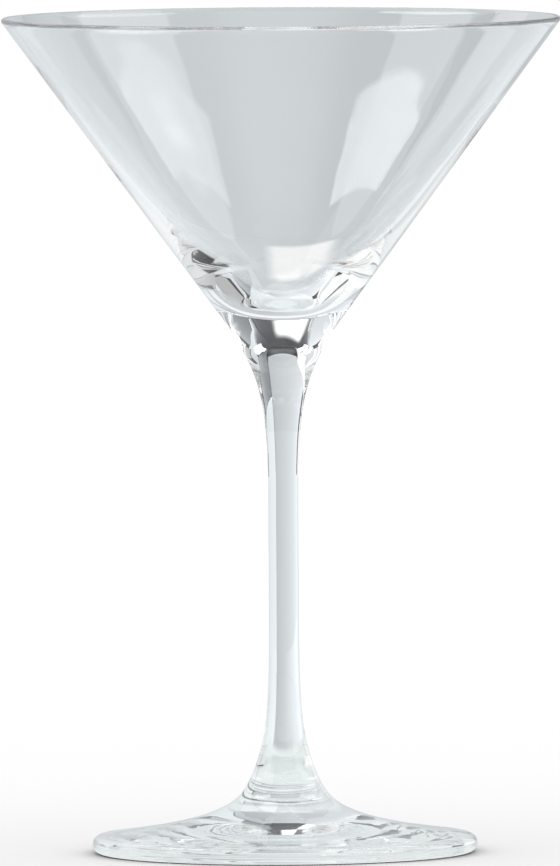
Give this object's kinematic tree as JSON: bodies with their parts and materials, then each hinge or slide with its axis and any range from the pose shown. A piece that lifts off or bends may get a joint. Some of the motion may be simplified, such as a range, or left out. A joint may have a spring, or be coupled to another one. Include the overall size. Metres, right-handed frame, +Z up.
{
  "type": "martini glass",
  "caption": "Stemmed cocktail glass: a wide straight cone on a slim drawn stem, flaring into a thin round foot.",
  "frame": {"origin": "centre of the foot on the table, on the glass's axis", "axes": "+Z up the stem to the rim; the glass is round, so X and Y are any two directions across it"},
  "size_m": [0.116, 0.116, 0.1735],
  "materials": {
    "bowl_glass": "clear, fire-polished, thin wall",
    "stem_glass": "clear, drawn, fire-polished",
    "foot_glass": "clear, pressed and fire-polished, faint green at the edge"
  },
  "bodies": {
    "root": {"bowl": "bowl_glass", "stem": "stem_glass", "foot": "foot_glass"}
  },
  "joints": []
}
